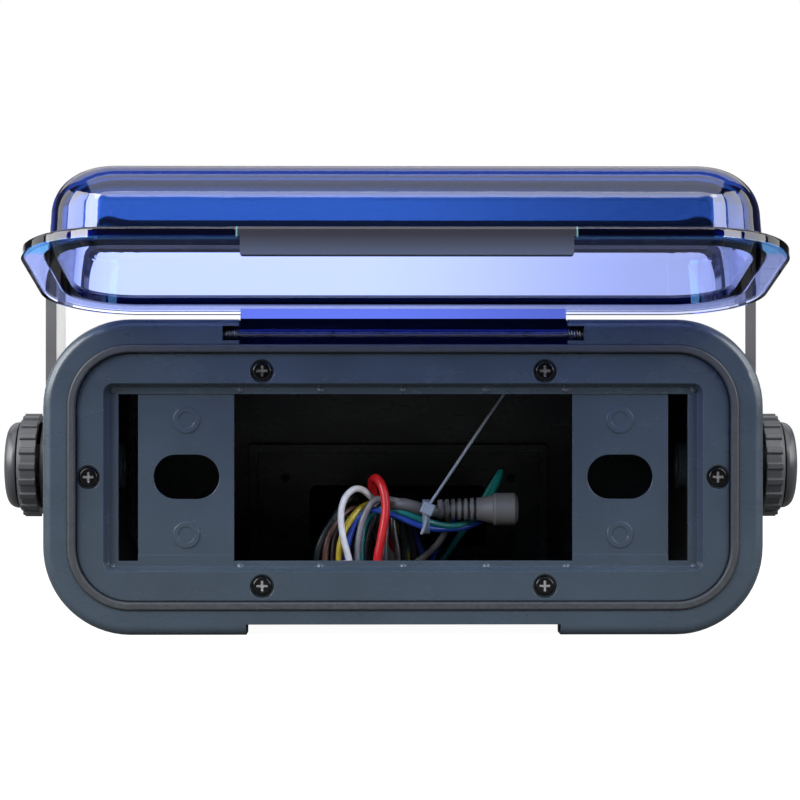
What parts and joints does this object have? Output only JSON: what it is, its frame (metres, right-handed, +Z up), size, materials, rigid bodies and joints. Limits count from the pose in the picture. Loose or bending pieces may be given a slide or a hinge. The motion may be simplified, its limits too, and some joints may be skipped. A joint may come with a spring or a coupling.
{
  "type": "gimbal-mount radio housing",
  "caption": "Weatherproof plastic housing with a flip-up clear blue cover, a dash-size opening and a tilting strap bracket with clamp knobs.",
  "frame": {"origin": "centre of the whole object's footprint at the level of the skids, with the cover open and without the harness", "axes": "+X to the right as seen from the front, -Y towards the viewer of the open front, +Z up"},
  "size_m": [0.2748, 0.2927, 0.1431],
  "materials": {
    "housing_plastic": "moulded dark slate plastic, satin gloss",
    "frame_plastic": "moulded dark slate plastic, satin gloss",
    "screw_steel": "bright cross-head screw",
    "seal_rubber": "dark grey rubber",
    "connector_plastic": "black moulded plastic",
    "cover_blue": "clear blue-tinted plastic",
    "pin_steel": "plain steel wire and rod",
    "bracket_coating": "dark grey gloss coating",
    "insert_brass": "turned brass",
    "washer_rubber": "black rubber",
    "stud_steel": "bright plated steel",
    "knob_plastic": "dark grey moulded plastic",
    "cap_plastic": "dark grey moulded plastic, satin",
    "wire_black": "insulated wires in many colours",
    "tie_nylon": "grey nylon",
    "plug_gray": "grey moulded plastic"
  },
  "bodies": {
    "housing": {"housing_shell": "housing_plastic", "fascia_plate": "frame_plastic", "fascia_screws": "screw_steel", "cover_seal": "seal_rubber", "rear_plate": "frame_plastic", "rear_plate_gasket": "seal_rubber", "rear_plate_screws": "screw_steel", "rear_connector": "connector_plastic", "rear_connector_nut": "connector_plastic", "hinge_pin": "pin_steel", "hinge_spring_left": "pin_steel", "hinge_spring_right": "pin_steel", "pivot_insert_left": "insert_brass", "pivot_insert_right": "insert_brass", "friction_washer_left": "washer_rubber", "friction_washer_right": "washer_rubber", "harness_lead": "wire_black", "harness_hank": "wire_black", "cable_tie": "tie_nylon", "plug_boot": "plug_gray", "plug_shell": "plug_gray"},
    "cover": {"cover_shell": "cover_blue"},
    "bracket": {"gimbal_bracket": "bracket_coating", "outer_washer_left": "washer_rubber", "outer_washer_right": "washer_rubber"},
    "stud_left": {"knob_stud_left": "stud_steel"},
    "stud_right": {"knob_stud_right": "stud_steel"},
    "knob_left": {"knob_grip_left": "knob_plastic", "knob_cap_left": "cap_plastic"},
    "knob_right": {"knob_grip_right": "knob_plastic", "knob_cap_right": "cap_plastic"}
  },
  "joints": [
    {"name": "cover_hinge", "type": "hinge", "parent": "housing", "child": "cover", "pos_m": [0, -0.0531, 0.096], "axis": [1, 0, 0], "range_deg": [0, 101], "stiffness_Nm_per_rad": 0.06, "springref_deg": -85.94},
    {"name": "bracket_tilt", "type": "hinge", "parent": "housing", "child": "bracket", "pos_m": [0, 0.0204, 0.052], "axis": [1, 0, 0], "range_deg": [-40, 40]},
    {"name": "stud_travel_left", "type": "slide", "parent": "housing", "child": "stud_left", "axis": [-1, 0, 0], "range_m": [-0.001, 0.008]},
    {"name": "knob_turn_left", "type": "hinge", "parent": "stud_left", "child": "knob_left", "pos_m": [-0.13, 0.0204, 0.052], "axis": [-1, 0, 0], "range_deg": [-360, 2880]},
    {"name": "stud_travel_right", "type": "slide", "parent": "housing", "child": "stud_right", "axis": [1, 0, 0], "range_m": [-0.001, 0.008]},
    {"name": "knob_turn_right", "type": "hinge", "parent": "stud_right", "child": "knob_right", "pos_m": [0.13, 0.0204, 0.052], "axis": [1, 0, 0], "range_deg": [-360, 2880]}
  ],
  "couplings": [
    {"joint": "stud_travel_left", "follows": "knob_turn_left", "m_per_rad": 0.00015915},
    {"joint": "stud_travel_right", "follows": "knob_turn_right", "m_per_rad": 0.00015915}
  ]
}
